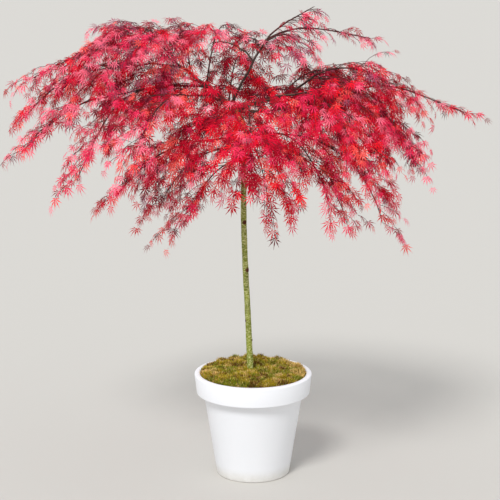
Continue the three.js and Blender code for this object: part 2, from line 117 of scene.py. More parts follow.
# The trunk's centreline: height above the compost, x, y.
TRUNK_PATH = [
    (0, -0.008, 0),
    (0.223, -0.018, 0.002),
    (0.400, -0.027, 0.005),
    (0.575, -0.032, 0.004),
    (0.800, -0.031, 0),
    (0.868, -0.035, -0.001),
    (0.905, -0.055, 0),
    (0.935, -0.088, 0),
]
TRUNK = Named(foot=0.0134, radius=0.0104, top=0.0088, flare=0.015, sides=28, rings=300)
TRUNK.lump, TRUNK.lump_scale = 0.0007, 22
TRUNK.ridge, TRUNK.ridge_scale = 0.00035, [260, 260, 65]

# Parent, place along it, azimuth, reach, rise, pitch at the start and at the end, radii. The bough
# "left" is the node bough_left.
BOUGHS = {
    "left": ("trunk", 0.985, 178, 0.2, 0.156, 44, 34, 0.0064, 0.0042),
    "left_level": ("left", 0.78, 176, 0.285, -0.008, 14, -6, 0.0039, 0.0028),
    "left_low": ("left", 0.36, 188, 0.32, -0.024, 8, -12, 0.0039, 0.0026),
    "upright": ("trunk", 0.985, 6, 0.132, 0.23, 61, 55, 0.0046, 0.0032),
    "upright_left": ("upright", 0.62, 172, 0.112, 0.066, 58, 10, 0.0029, 0.0023),
    "right": ("trunk", 0.975, 356, 0.268, 0.106, 8, 40, 0.005, 0.0034),
    "right_long": ("trunk", 0.955, 3, 0.395, 0.07, -2, 15, 0.0046, 0.0032),
    "right_low": ("trunk", 0.85, 352, 0.135, 0.022, 26, -8, 0.0042, 0.0032),
    "left_drop": ("trunk", 0.84, 192, 0.11, 0.012, 28, -12, 0.004, 0.003),
    "front_left": ("trunk", 0.965, 232, 0.235, 0.066, 34, 2, 0.0048, 0.0032),
    "front": ("trunk", 0.94, 278, 0.215, 0.058, 34, 0, 0.0046, 0.0032),
    "front_right": ("trunk", 0.95, 318, 0.25, 0.078, 30, 6, 0.0048, 0.0032),
    "back_right": ("trunk", 0.95, 50, 0.245, 0.034, 22, -4, 0.0046, 0.0032),
    "back": ("trunk", 0.965, 92, 0.235, 0.04, 26, -4, 0.0046, 0.0032),
    "back_left": ("trunk", 0.975, 138, 0.235, 0.09, 40, 8, 0.0048, 0.0032),
}
HANDLE = 0.38  # how far an arch keeps its first and its last pitch, as a share of its span

# Parent, place along it, azimuth, reach, rise, pitch at the start and at the end of the main stem,
# length of the longest side shoot, number of side shoots, and how full of twiglets and leaves it is.
MASSES = {
    "left_crest": ("left", 1, 180, 0.46, -0.072, 32, -28, 0.15, 5, 0.6),
    "left_crest_front": ("left", 0.92, 214, 0.27, 0.052, 62, -44, 0.17, 5, 0.65),
    "left_crest_back": ("left", 0.88, 140, 0.24, 0.088, 64, -34, 0.16, 5, 0.8),
    "left_shoot": ("left", 0.66, 118, 0.12, 0.16, 78, 10, 0.14, 4, 0.55),
    "crest_middle": ("left", 0.4, 62, 0.15, 0.188, 76, -16, 0.11, 4, 0.08),
    "left_long": ("left_level", 1, 182, 0.236, -0.15, -6, -46, 0.11, 4, 1),
    "left_long_front": ("left_level", 0.55, 234, 0.2, -0.07, 26, -60, 0.16, 4, 1),
    "left_long_back": ("left_level", 0.72, 152, 0.25, -0.1, 8, -50, 0.15, 4, 0.8),
    "left_low": ("left_low", 1, 183, 0.296, -0.182, -6, -44, 0.13, 4, 1),
    "left_low_front": ("left_low", 0.64, 207, 0.25, -0.285, -10, -60, 0.11, 4, 1),
    "left_skirt": ("left_drop", 1, 190, 0.32, -0.18, 2, -50, 0.15, 4, 0.5),
    "left_skirt_inner": ("trunk", 0.79, 205, 0.2, -0.195, -6, -70, 0.15, 4, 0.45),
    "left_skirt_back": ("trunk", 0.81, 150, 0.33, -0.2, 12, -60, 0.17, 4, 1.1),
    "crest_front": ("left", 0.75, 236, 0.2, 0.1, 68, -34, 0.15, 4, 0.6),
    "centre_left": ("left", 0.22, 222, 0.22, -0.02, 44, -52, 0.16, 4, 1.2),
    "centre_left_low": ("trunk", 0.9, 222, 0.23, -0.06, 34, -60, 0.16, 4, 1),
    "centre_back": ("trunk", 0.99, 76, 0.16, 0.145, 72, -16, 0.14, 4, 0.6),
    "centre_right": ("right", 0.14, 336, 0.23, 0.02, 52, -46, 0.16, 5, 1),
    "top_right": ("upright", 1, 4, 0.148, 0.094, 42, 30, 0.075, 3, 0.45),
    "top_right_twig": ("upright", 0.94, 356, 0.345, 0.004, 32, -8, 0.05, 4, 0.4),
    "top_right_front": ("upright", 0.8, 322, 0.145, 0.03, 54, -46, 0.11, 4, 0.1),
    "top_centre": ("upright_left", 1, 246, 0.15, 0.024, 54, -46, 0.12, 4, 0.45),
    "top_back": ("upright", 0.72, 96, 0.13, 0.028, 54, -46, 0.12, 4, 0.35),
    "right_arch": ("right", 1, 357, 0.27, -0.055, 30, -50, 0.15, 5, 0.5),
    "right_arch_front": ("right", 0.84, 312, 0.28, -0.09, 34, -60, 0.18, 5, 0.6),
    "right_arch_back": ("right", 0.6, 38, 0.245, 0.03, 50, -52, 0.165, 5, 0.85),
    "right_long": ("right_long", 1, 1, 0.38, -0.08, 18, -16, 0.08, 4, 0.42),
    "right_long_front": ("right_long", 0.84, 330, 0.27, -0.19, 12, -66, 0.13, 4, 0.55),
    "right_long_back": ("right_long", 0.7, 28, 0.28, -0.17, 6, -64, 0.15, 4, 0.75),
    "right_skirt": ("right_low", 1, 356, 0.328, -0.295, 0, -76, 0.14, 4, 1.3),
    "right_skirt_front": ("right_low", 0.7, 316, 0.255, -0.205, 10, -66, 0.15, 4, 0.45),
    "right_skirt_back": ("trunk", 0.83, 24, 0.382, -0.265, 8, -68, 0.16, 4, 0.4),
    "front_left": ("front_left", 1, 228, 0.23, -0.15, 16, -62, 0.16, 4, 0.42),
    "front": ("front", 1, 272, 0.285, -0.145, 20, -60, 0.185, 5, 0.85),
    "front_right": ("front_right", 1, 312, 0.28, -0.18, 18, -64, 0.19, 4, 0.65),
    "front_skirt": ("trunk", 0.845, 290, 0.24, -0.175, 20, -64, 0.15, 4, 0.5),
    "back_right": ("back_right", 1, 56, 0.27, -0.19, -4, -62, 0.19, 4, 0.8),
    "back": ("back", 1, 88, 0.29, -0.175, -2, -60, 0.19, 4, 0.8),
    "back_left": ("back_left", 1, 134, 0.29, -0.15, 8, -58, 0.19, 4, 0.8),
}
# The crown thins out towards its ends and its hanging tips: from where to where, and by how much.
THINNER = Named(side=(0.34, 0.74, 0.64), low=(1.14, 0.90, 0.52), least=0.22, shorter=0.45)
LOWEST_LEAF = 0.77  # no leaf or twiglet hangs lower

# The rule by which side shoots grow, at every level.
SHOOT = Named(
    first=0.12, last=0.86, turn=54, turn_last=30, place_scatter=0.03, turn_scatter=10,
    reach_scatter=0.12, droop=0.22, droop_hanging=0.6, taper=0.5, follow=0.6, lift=10, hook=22,
    stem_radius=0.0030, stem_tip=0.0013, thinner=0.48, tip=0.0008,
)
SPACE = Named(limb_samples=60, stem_samples=24, samples=12, shoot_root=0.2, clearance=0.014)
SEEDS = Named(masses=1, finer=101, lenticels=301, boughs=500, cushions=41, strands=5)

# What the finer growth adds: shoots between the first ones, and twiglets on stems and shoots.
FINER = Named(
    between=3,  # shoots between two of the first ones
    between_reach=0.85,  # their reach and their turn, beside the first ones'
    between_turn=(0.4, 1.2), twiglet_spacing=0.050,
    twiglet=0.125,  # the longest, and at most this share of the mass's longest shoot
    twiglet_share=0.75, twiglet_taper=0.4, twiglet_turn=30, twiglet_tip=0.0009, turn_scatter=18,
    scatter=0.3,  # of their reach and spacing
    starts={"stem": 0.25, "shoot": 0.15},  # the place of the first twiglet, and of the last
    last=0.97,
    leaders={"stem": 0.8, "shoot": 0.4},  # the twiglet that goes on from the tip
    leader_at=0.99, droop=0.05, droop_hanging=1.1, lift=24, slant=0.45,
    leafy={"stem": 0.4, "shoot": 0.5, "twiglet": 0.75},  # the outer share that has leaves
    leafy_at_least=0.45,  # how much of that share has them where the mass is bare
)

LEAF = Named(
    length=0.031,  # the middle lobe
    size_scatter=0.25, stalk=0.011, stalk_scatter=0.3,
    stalk_pitch=10,  # a stalk's pitch is half way from this to its leaf's
    stalk_radius=0.0005,
    spacing=0.028,  # between two pairs of leaves
    spacing_scatter=0.25,
    first_pair=(0.7, 1.2),  # from the tip, in spacings
    pair_turn=36, scatter=24, pitch=-60, pitch_on_top=-8,
    top=(1.37, 1.50),  # heights between which the pitch changes
    steepest=-88,
    follow=(0.40, 0.70),  # how far leaves follow their twig's pitch, by the trunk and at the side
    spread=(1.12, 0.98),  # of the lobes, by the trunk and at the side
    spread_scatter=0.14,
    side=0.65,  # where the side begins
    roll=55, droop=(0.2, 0.6),
    lobes=[(0, 1.0), (29, 0.92), (60, 0.74), (95, 0.42)],  # degrees from the middle, length
    half_width=0.066,  # of a lobe, as a share of the leaf's length
    middle=0.48,  # half way along a lobe
    teeth=[(0.62, 1.0), (0.50, 0.55)],  # a tooth and its notch: place along the lobe, half width
    fold=0.35, clear_of_limbs=0.008,
    tips=(-56, 0, 56),  # the lobes that have to stay in the box, in degrees
    twig_end=0.99,  # a leaf at a twig's tip follows the pitch that the twig has here
)

# Tints of the leaves: colour, foliage slot, and how likely a spray is to have it: everywhere, and more so
# towards the outer edge, the top, the low middle and the inside of the crown. The paler pink and rose
# dealt out towards the outer edge and the top are painted light, the glow of backlit leaves, and the
# darker ruby and maroon dealt out towards the inside are painted shade.
TINTS = {
    "crimson": ((216, 12, 50), "crimson", (1.2, 0.1, -0.3, 0.5, 0.0)),
    # rose and pink: leaf colours, dealt out more at the edge and the top as painted backlight
    "rose": ((234, 46, 88), "crimson", (0.6, 1.1, 1.2, 0.3, -0.4)),
    "pink": ((248, 112, 136), "scarlet", (0.15, 2.0, 2.6, 0.1, -0.4)),
    "scarlet": ((236, 22, 38), "scarlet", (0.8, -0.3, -0.3, 0.8, 0.0)),
    "coral": ((246, 86, 80), "coral", (0.25, 0.35, 0.1, 0.45, -0.2)),
    # ruby and maroon: leaf colours, dealt out more towards the inside of the crown as painted shade
    "ruby": ((160, 4, 32), "maroon", (0.9, 0.1, 0.0, 0.4, 0.7)),
    "maroon": ((104, 4, 28), "maroon", (0.5, -0.2, 0.0, -0.35, 1.0)),
    "plum": ((158, 76, 100), "maroon", (0.05, 0.15, 1.5, 0.0, 0.0)),
}
# Parts of the crown that the tints lean towards; the edge and the top take painted light, the inside
# takes painted shade.
PARTS = Named(edge=0.75, top=(1.36, 1.51), low_side=0.5, low=(1.40, 1.20), inside=0.4)
SPRAY_ENDS = 0.45  # how likely a spray of one tint is to end at each leaf

LIGHT = Named(energy=2.35, angle=16, tilt=42, turn=-20, sky=(0.95, 0.97, 1.0, 1.0), fill=0.80)
CAMERA = Named(place=(-0.0106, -4.93, 1.814), down=11.85, lens=108, sensor=36)


# ---------------- small helpers


def seeded(seed):
    """A repeatable stream of numbers from 0 to 1."""
    state = (seed * 7919 + 17) % 2147483647

    def draw():
        nonlocal state
        state = state * 16807 % 2147483647
        return state / 2147483647

    return draw


def scatter(draw, size):
    return (2 * draw() - 1) * size


def mix(a, b, share):
    return a + (b - a) * share


def heading(azimuth, pitch=0.0):
    turn, tilt = math.radians(azimuth), math.radians(pitch)
    flat = math.cos(tilt)
    return np.array([math.cos(turn) * flat, math.sin(turn) * flat, math.sin(tilt)])


def linear(red, green, blue):
    """A colour given as it looks, from 0 to 255, as the renderer wants it."""

    def channel(value):
        value /= 255
        return value / 12.92 if value <= 0.04045 else ((value + 0.055) / 1.055) ** 2.4

    return (channel(red), channel(green), channel(blue), 1.0)


def linked(name, data):
    piece = bpy.data.objects.new(name, data)
    bpy.context.scene.collection.objects.link(piece)
    return piece


def object_from(bm, name, smooth=True):
    for face in bm.faces:
        face.smooth = smooth
    mesh = bpy.data.meshes.new(name)
    bm.to_mesh(mesh)
    bm.free()
    return linked(name, mesh)


def place(piece, material, slot, *nodes):
    """Gives a piece its material and lets it stand for its nodes, whose parts it hides. slot is not used.
    """
    piece.data.materials.append(material)
    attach(piece, "root")
    if nodes:
        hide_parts(*nodes)


# ---------------- limbs


class Limb:
    """A tapering limb along a smooth curve. Places along it are shares of its length."""

    def __init__(self, points, root_radius, tip_radius, azimuth):
        steps = np.linalg.norm(np.diff(points, axis=0), axis=1)
        along = np.concatenate([[0], np.cumsum(steps)])
        self.points = points
        self.length = along[-1]
        self.shares = along / self.length
        self.radii = (root_radius, tip_radius)
        self.azimuth = azimuth

    def point(self, share):
        columns = [np.interp(share, self.shares, self.points[:, k]) for k in range(3)]
        return np.stack(columns, axis=-1)

    def tangent(self, share):
        step = 0.5 / len(self.points)
        ahead = self.point(np.clip(share + step, 0, 1)) - self.point(np.clip(share - step, 0, 1))
        return ahead / np.linalg.norm(ahead, axis=-1, keepdims=True)

    def pitch(self, share):
        return math.degrees(math.asin(self.tangent(share)[2]))

    def radius(self, share):
        return mix(*self.radii, share)

    def samples(self, count, start=0.0):
        return self.point(mix(start, 1, np.arange(1, count + 1) / count))


def arch(start, azimuth, shape, root_radius, tip_radius, stops=41):
    """A planar arch from a point: its reach is horizontal and its rise vertical."""
    reach, rise, pitch_start, pitch_end = shape
    end = start + heading(azimuth) * reach + UP * rise
    handle = HANDLE * np.linalg.norm(end - start)
    first = start + heading(azimuth, pitch_start) * handle
    second = end - heading(azimuth, pitch_end) * handle
    t = np.linspace(0, 1, stops)[:, None]
    near, far = 3 * t * (1 - t) ** 2, 3 * t**2 * (1 - t)
    points = (1 - t) ** 3 * start + near * first + far * second + t**3 * end
    return Limb(points, root_radius, tip_radius, azimuth)


def curve_through(points, stops=24):
    """A smooth curve through points, with centripetal spacing."""
    whole = [2 * points[0] - points[1], *points, 2 * points[-1] - points[-2]]
    stretches = []
    for p0, p1, p2, p3 in zip(whole, whole[1:], whole[2:], whole[3:]):
        d0, d1, d2 = (math.sqrt(np.linalg.norm(b - a)) for a, b in ((p0, p1), (p1, p2), (p2, p3)))
        leave = ((p1 - p0) / d0 - (p2 - p0) / (d0 + d1) + (p2 - p1) / d1) * d1
        arrive = ((p2 - p1) / d1 - (p3 - p1) / (d1 + d2) + (p3 - p2) / d2) * d1
        t = np.linspace(0, 1, stops, endpoint=False)[:, None]
        bend = (2 * t**3 - 3 * t**2 + 1) * p1 + (t**3 - 2 * t**2 + t) * leave
        stretches.append(bend + (3 * t**2 - 2 * t**3) * p2 + (t**3 - t**2) * arrive)
    return np.concatenate([*stretches, points[-1][None]])


def grow_limbs():
    foot = COMPOST_TOP + GAP
    path = [np.array([x, y, foot + height]) for height, x, y in TRUNK_PATH]
    limbs = {"trunk": Limb(curve_through(path), TRUNK.radius, TRUNK.top, 0)}
    for name, (parent, at, azimuth, *shape, root_radius, tip_radius) in BOUGHS.items():
        start = limbs[parent].point(at)
        limbs[name] = arch(start, azimuth, shape, root_radius, tip_radius)
    return limbs


def side_shoot(parent, at, turn, reach, tip_radius, rule=SHOOT, slant=0.0):
    """A shoot that leaves its parent sideways and hangs down, more so where the parent hangs.
    slant is how much higher it ends than the rule has it, as a share of its reach."""
    pitch = parent.pitch(at)
    hanging = max(0, math.sin(math.radians(-pitch)))
    rise = reach * (slant - rule.droop - rule.droop_hanging * hanging)
    chord = math.degrees(math.atan2(rise, reach))
    start = pitch * SHOOT.follow + rule.lift + math.degrees(math.atan(slant))
    shape = (reach, rise, start, chord - SHOOT.hook)
    root_radius = max(SHOOT.thinner * parent.radius(at), tip_radius)
    return arch(parent.point(at), parent.azimuth + turn, shape, root_radius, tip_radius, stops=17)


def first_shoots(stem, longest, count, draw):
    """The side shoots that alternate along a stem, turn less and get shorter towards its tip."""
    shoots = []
    for i in range(count):
        share = i / (count - 1)
        at = mix(SHOOT.first, SHOOT.last, share) + scatter(draw, SHOOT.place_scatter)
        side = (-1) ** i
        turn = side * mix(SHOOT.turn, SHOOT.turn_last, share) + scatter(draw, SHOOT.turn_scatter)
        reach = longest * (1 - SHOOT.taper * share) * (1 + scatter(draw, SHOOT.reach_scatter))
        shoots.append(side_shoot(stem, at, turn, reach, SHOOT.tip))
    return shoots


def between_shoots(stem, longest, count, draw):
    """Shorter shoots between the first ones, each on the other side of the stem."""
    shoots = []
    count *= FINER.between
    for i in range(count):
        share = (i + 0.5) / count
        at = mix(SHOOT.first, SHOOT.last, share) + scatter(draw, SHOOT.place_scatter)
        side = -((-1) ** i)
        turn = side * mix(SHOOT.turn, SHOOT.turn_last, share) * mix(*FINER.between_turn, draw())
        reach = longest * FINER.between_reach * (1 - SHOOT.taper * share)
        reach *= (1 + scatter(draw, SHOOT.reach_scatter)) * shorter_at(stem.point(at))
        slant = scatter(draw, FINER.slant)
        shoot = side_shoot(stem, at, turn, reach, SHOOT.tip, SHOOT, slant)
        if draw() < fullness_at(shoot.point(1.0)):
            shoots.append(shoot)
    return shoots


def nearest(samples, points):
    """Distance from each point to the nearest sample."""
    return np.sqrt(((points[:, None] - samples[None]) ** 2).sum(axis=2)).min(axis=1)


def grow_masses(limbs):
    """The main stem and the side shoots of every mass, which keep clear of all other limbs."""
    masses = []
    for index, (parent, at, azimuth, *shape, longest, count, fullness) in enumerate(MASSES.values()):
        root_radius = min(SHOOT.stem_radius, limbs[parent].radius(at))
        stem = arch(limbs[parent].point(at), azimuth, shape, root_radius, SHOOT.stem_tip)
        candidates = first_shoots(stem, longest, count, seeded(SEEDS.masses + index))
        draw = seeded(SEEDS.finer + index)
        candidates += between_shoots(stem, longest, count, draw)
        mass = Named(stem=stem, candidates=candidates, shoots=[], fullness=fullness, draw=draw)
        mass.twiglet = min(FINER.twiglet, FINER.twiglet_share * longest)
        mass.samples = stem.samples(SPACE.stem_samples)
        masses.append(mass)
    bough_samples = np.concatenate([limb.samples(SPACE.stem_samples) for limb in limbs.values()])
    for mass in masses:
        others = [other.samples for other in masses if other is not mass]
        foreign = np.concatenate([bough_samples, *others])
        for shoot in mass.candidates:
            outer = shoot.samples(SPACE.samples, SPACE.shoot_root)
            if nearest(foreign, outer).min() > SPACE.clearance:
                mass.shoots.append(shoot)
                mass.samples = np.concatenate([mass.samples, shoot.samples(SPACE.samples)])
    return masses


def ramp(value, first, last):
    """How far a value is from the first to the last, from 0 to 1."""
    return min(1, max(0, (value - first) / (last - first)))


def share_between(value, first, last):
    """How far a value is from the first to the last, eased at both ends."""
    share = ramp(value, first, last)
    return share * share * (3 - 2 * share)


def fullness_at(point):
    """How full the crown is at a point."""
    (inner, outer, less), (high, low, less_low) = THINNER.side, THINNER.low
    full = 1 - less * share_between(abs(point[0]), inner, outer)
    full -= less_low * share_between(point[2], high, low)
    return max(THINNER.least, full)


def shorter_at(point):
    """How much shorter the finer shoots and twiglets are at a point, as a factor."""
    return 1 - THINNER.shorter * (1 - fullness_at(point))


def twiglets_on(limb, kind, mass):
    """The finest twigs, in turn on either side of a mass's stem or of a shoot."""
    draw, longest = mass.draw, mass.twiglet
    spacing = FINER.twiglet_spacing / limb.length / mass.fullness
    twiglets = []
    at = FINER.starts[kind] + draw() * spacing
    side = 1 if draw() < 0.5 else -1
    while at < FINER.last:
        turn = side * FINER.twiglet_turn + scatter(draw, FINER.turn_scatter)
        reach = longest * (1 - FINER.twiglet_taper * at) * (1 + scatter(draw, FINER.scatter))
        reach *= shorter_at(limb.point(at))
        slant = scatter(draw, FINER.slant)
        twiglet = side_shoot(limb, at, turn, reach, FINER.twiglet_tip, FINER, slant)
        if draw() < fullness_at(twiglet.point(1.0)):
            twiglets.append(twiglet)
        at += spacing * (1 + scatter(draw, FINER.scatter))
        side = -side
    reach = longest * FINER.leaders[kind] * (1 + scatter(draw, FINER.scatter))
    turn = scatter(draw, FINER.turn_scatter)
    leader = side_shoot(limb, FINER.leader_at, turn, reach, FINER.twiglet_tip, FINER)
    return [*twiglets, leader]


def leaves_on(limb, start, draw):
    """Opposite pairs of leaves along a twig, and one at its tip: root, stalk's end, forward, lift,
    size, spread and droop."""
    places = [(1.0, 0.0)]
    spacing = LEAF.spacing / limb.length
    at = 1 - spacing * mix(*LEAF.first_pair, draw())
    while at > start:
        places += [(at, LEAF.pair_turn), (at, -LEAF.pair_turn)]
        at -= spacing * (1 + scatter(draw, LEAF.spacing_scatter))
    leaves = []
    for at, turn in places:
        azimuth = limb.azimuth + turn + scatter(draw, LEAF.scatter)
        twig_pitch = limb.pitch(min(at, LEAF.twig_end))
        root = limb.point(at)
        aside = min(1, abs(root[0]) / LEAF.side)
        pitch = mix(LEAF.pitch, LEAF.pitch_on_top, share_between(root[2], *LEAF.top))
        pitch = mix(pitch, twig_pitch, mix(*LEAF.follow, aside)) + scatter(draw, LEAF.scatter)
        pitch = max(pitch, LEAF.steepest)
        stalk = heading(azimuth, mix(pitch, LEAF.stalk_pitch, 0.5)) * LEAF.stalk
        stalk *= 1 + scatter(draw, LEAF.stalk_scatter)
        roll = math.radians(scatter(draw, LEAF.roll))
        forward, lift = heading(azimuth, pitch), heading(azimuth, pitch + 90)
        lift = lift * math.cos(roll) + np.cross(forward, lift) * math.sin(roll)
        size = LEAF.length * (1 + scatter(draw, LEAF.size_scatter))
        spread = mix(*LEAF.spread, aside) + scatter(draw, LEAF.spread_scatter)
        droop = mix(*LEAF.droop, draw())
        leaves.append((root, root + stalk, forward, lift, size, spread, droop))
    return leaves


# ---------------- leaves and twigs as joined meshes


def joined_mesh(name, points, faces):
    """A mesh of many parts of one kind, from the points of each part and the triangles of one."""
    firsts = np.arange(len(points)) * points.shape[1]
    faces = (np.array(faces) + firsts[:, None, None]).astype(np.int32)
    mesh = bpy.data.meshes.new(name)
    mesh.vertices.add(points.size // 3)
    mesh.vertices.foreach_set("co", points.astype(np.float32).ravel())
    mesh.loops.add(faces.size)
    mesh.loops.foreach_set("vertex_index", faces.ravel())
    mesh.polygons.add(faces.size // 3)
    mesh.polygons.foreach_set("loop_start", np.arange(0, faces.size, 3, dtype=np.int32))
    mesh.update(calc_edges=True)
    mesh.validate()
    return linked(name, mesh)


def leaf_template():
    """The lobes as angle, radius and height, and their faces. Each lobe has a tooth on both sides
    and is folded along its middle."""
    outline = [(0.0, 0.0), (LEAF.middle, 0.0), (1.0, 0.0)]
    outline += [(along, side * out * LEAF.half_width) for side in (1, -1) for along, out in LEAF.teeth]
    halves = [(0, 4, 3), (0, 1, 4), (1, 2, 4), (0, 5, 6), (0, 6, 1), (1, 6, 2)]
    middle, *others = LEAF.lobes
    lobes = [middle] + [(side * angle, length) for angle, length in others for side in (1, -1)]
    angles, radii, heights, faces = [], [], [], []
    for angle, length in lobes:
        faces += [[len(angles) + corner for corner in face] for face in halves]
        for along, out in outline:
            y = along * length
            angles.append(math.radians(angle) + (math.atan2(out, y) if along else 0))
            radii.append(math.hypot(out, y))
            heights.append(LEAF.fold * abs(out))
    return np.array(angles), np.array(radii), np.array(heights), np.array(faces)


def leaves_mesh(name, leaves):
    """All the leaves of one tint, each with its stalk."""
    root, end, forward, lift = (np.array([leaf[k] for leaf in leaves]) for k in range(4))
    size, spread, droop = (np.array([leaf[k] for leaf in leaves])[:, None] for k in range(4, 7))
    across = np.cross(forward, lift)
    angles, radii, heights, faces = leaf_template()
    turn = angles[None] * spread
    sideways = size * radii * np.sin(turn)
    along = size * radii * np.cos(turn)
    height = size * (heights - droop * radii**2)
    blade = end[:, None] + across[:, None] * sideways[..., None]
    blade = blade + forward[:, None] * along[..., None] + lift[:, None] * height[..., None]
    corners = np.arange(3)[:, None] * 2 * math.pi / 3
    ring = (across[:, None] * np.cos(corners) + lift[:, None] * np.sin(corners)) * LEAF.stalk_radius
    points = np.concatenate([blade, root[:, None] + ring, end[:, None] + ring], axis=1)
    first = len(angles)
    sides = [(0, 1, 4), (0, 4, 3), (1, 2, 5), (1, 5, 4), (2, 0, 3), (2, 3, 5)]
    return joined_mesh(name, points, np.concatenate([faces, np.array(sides) + first]))


def twig_points(limb, sides, stops):
    """Rings of points along a limb, and its tip."""
    shares = np.linspace(0, 1, stops)
    centres = limb.point(shares)
    tangents = limb.tangent(shares)
    side = heading(limb.azimuth + 90)
    up = np.cross(tangents, side)
    turns = np.arange(sides)[:, None] * 2 * math.pi / sides
    out = up[:, None] * np.cos(turns) + side * np.sin(turns)
    rings = (centres[:, None] + out * limb.radius(shares)[:, None, None])[:-1].reshape(-1, 3)
    return np.concatenate([rings, centres[-1:]])


def twigs_mesh(name, limbs, sides, stops):
    """Closed tapering tubes, each of which ends in a point."""
    faces = [(0, i, i + 1) for i in range(1, sides - 1)]
    for ring in range(stops - 2):
        for i in range(sides):
            a, b = ring * sides + i, ring * sides + (i + 1) % sides
            faces += [(a, a + sides, b), (b, a + sides, b + sides)]
    tip = (stops - 1) * sides
    faces += [(tip - sides + i, tip, tip - sides + (i + 1) % sides) for i in range(sides)]
    return joined_mesh(name, np.stack([twig_points(limb, sides, stops) for limb in limbs]), faces)


# ---------------- trunk and boughs


def bark_tube(name, limb, side, sides, steps, radius_at, centre_shift=None):
    """A closed tube along a limb, from a sheet wrapped round it. side is square to the limb's plane,
    radius_at gives the bark's radius, and centre_shift moves its middle."""
    bm = bmesh.new()
    bmesh.ops.create_grid(bm, x_segments=sides, y_segments=steps, size=0.5)
    sheet = np.array([vertex.co for vertex in bm.verts])
    turns, shares = (sheet[:, 0] + 0.5) * 2 * math.pi, np.clip(sheet[:, 1] + 0.5, 0, 1)
    turns = np.where(turns > 2 * math.pi - 1e-4, 0, turns)
    tangents = limb.tangent(shares)
    up = np.cross(tangents, side)
    up /= np.linalg.norm(up, axis=1, keepdims=True)
    across = np.cross(tangents, up)
    out = up * np.cos(turns)[:, None] + across * np.sin(turns)[:, None]
    centres = limb.point(shares)
    if centre_shift:
        centres = centres + centre_shift(shares)
    points = centres + out * radius_at(turns, shares, centres, out)[:, None]
    for vertex, point in zip(bm.verts, points):
        vertex.co = point
    bmesh.ops.remove_doubles(bm, verts=bm.verts, dist=1e-6)
    bmesh.ops.holes_fill(bm, edges=bm.edges, sides=0)
    bmesh.ops.recalc_face_normals(bm, faces=bm.faces)
    return object_from(bm, name)


def noise_at(points, scale, offset=0.0):
    """Smooth noise from -1 to 1 at points."""
    return np.array([noise.noise(p) for p in (points * scale + offset).tolist()])


TRUNK_MARKS = {
    "scar": (0.711, -40.0, 0.0066, 0.0030),  # height, azimuth, size and relief
    "nub": (0.467, -14.0, 0.0036, 0.0020),
    "eye": (0.875, -70.0, 0.0060, 0.0008),
    "low_scar": (0.535, -150.0, 0.0034, 0.0010),
    "back_scar": (0.880, 100.0, 0.0042, 0.0016),
}
GRAFT = Named(height=1.238, length=0.022, swell=0.0022)
LENTICELS = Named(
    count=190, heights=(COMPOST_TOP + 0.02, 1.22), width=0.0034,
    widths=(0.6, 1.4),  # of one, beside the usual
    height=0.0007, stands_out=0.00045,
)
BOUGH_BARK = Named(
    sides=12, step=0.0045, fewest_steps=24, sway=0.0022, waves=(2, 4),
    first_ring=(0.04, 0.07),  # a ring at every old pair of buds: the first one, and how far apart
    rings_apart=(0.055, 0.075), ring_length=0.0022,
    ring=0.10,  # how far a ring and a ridge stand out, as a share of the radius
    ridge=0.10, ridge_scale=190, ridge_radius=0.004,
)


def trunk_relief(centres, out):
    """How far the trunk's bark stands out: slow lumps, fine ridges, lenticels, scars and the graft."""
    points = centres + out * TRUNK.radius
    relief = TRUNK.lump * noise_at(points, TRUNK.lump_scale)
    relief += TRUNK.ridge * noise_at(points, TRUNK.ridge_scale, 7)
    height = centres[:, 2]

    def mark(at, azimuth, tall, wide):
        beside = 2 * (1 - out @ heading(azimuth)) * (TRUNK.radius / wide) ** 2
        return np.exp(-np.minimum(((height - at) / tall) ** 2 + beside, 60))

    relief += GRAFT.swell * np.exp(-(((height - GRAFT.height) / GRAFT.length) ** 2))
    for at, azimuth, size, stands_out in TRUNK_MARKS.values():
        relief += stands_out * mark(at, azimuth, size, size)
    draw = seeded(SEEDS.lenticels)
    for _ in range(LENTICELS.count):
        at, azimuth = mix(*LENTICELS.heights, draw()), 360 * draw()
        width = LENTICELS.width * mix(*LENTICELS.widths, draw())
        relief += LENTICELS.stands_out * mark(at, azimuth, LENTICELS.height, width)
    return relief


def make_trunk(limb, material):
    def radius_at(turns, shares, centres, out):
        flare = (TRUNK.foot - TRUNK.radius) * np.exp(-shares * limb.length / TRUNK.flare)
        return limb.radius(shares) + flare + trunk_relief(centres, out)

    side = np.array([0.0, 1.0, 0.0])
    piece = bark_tube("trunk_bark", limb, side, TRUNK.sides, TRUNK.rings, radius_at)
    for vertex in piece.data.vertices:
        vertex.co.z = max(vertex.co.z, COMPOST_TOP + GAP)
    place(piece, material, "trunk_bark", "trunk")


def make_bough(name, limb, seed, material):
    """A bough with small kinks and a ring at every old pair of buds."""
    rule, draw = BOUGH_BARK, seeded(seed)
    sway = [(scatter(draw, 1), scatter(draw, 1), mix(*rule.waves, draw())) for _ in range(2)]
    side = heading(limb.azimuth + 90)
    first, apart = mix(*rule.first_ring, draw()), mix(*rule.rings_apart, draw())
    joints = np.arange(first, limb.length, apart) / limb.length

    def centre_shift(shares):
        fade = np.sin(math.pi * shares) * rule.sway
        level = sum(a * np.sin(2 * math.pi * (waves * shares + b)) for a, b, waves in sway)
        upward = sum(b * np.sin(2 * math.pi * (waves * shares + a)) for a, b, waves in sway)
        return side * (fade * level)[:, None] + UP * (fade * upward)[:, None]

    def radius_at(turns, shares, centres, out):
        gaps = [(shares - joint) * limb.length / rule.ring_length for joint in joints]
        rings = sum(np.exp(-(gap**2)) for gap in gaps)
        ridges = noise_at(centres + out * rule.ridge_radius, rule.ridge_scale, seed)
        return limb.radius(shares) * (1 + rule.ring * rings + rule.ridge * ridges)

    steps = max(rule.fewest_steps, int(limb.length / rule.step))
    piece = bark_tube(name + "_bark", limb, side, rule.sides, steps, radius_at, centre_shift)
    place(piece, material, "bough_bark", name)


# ---------------- planter, compost and moss


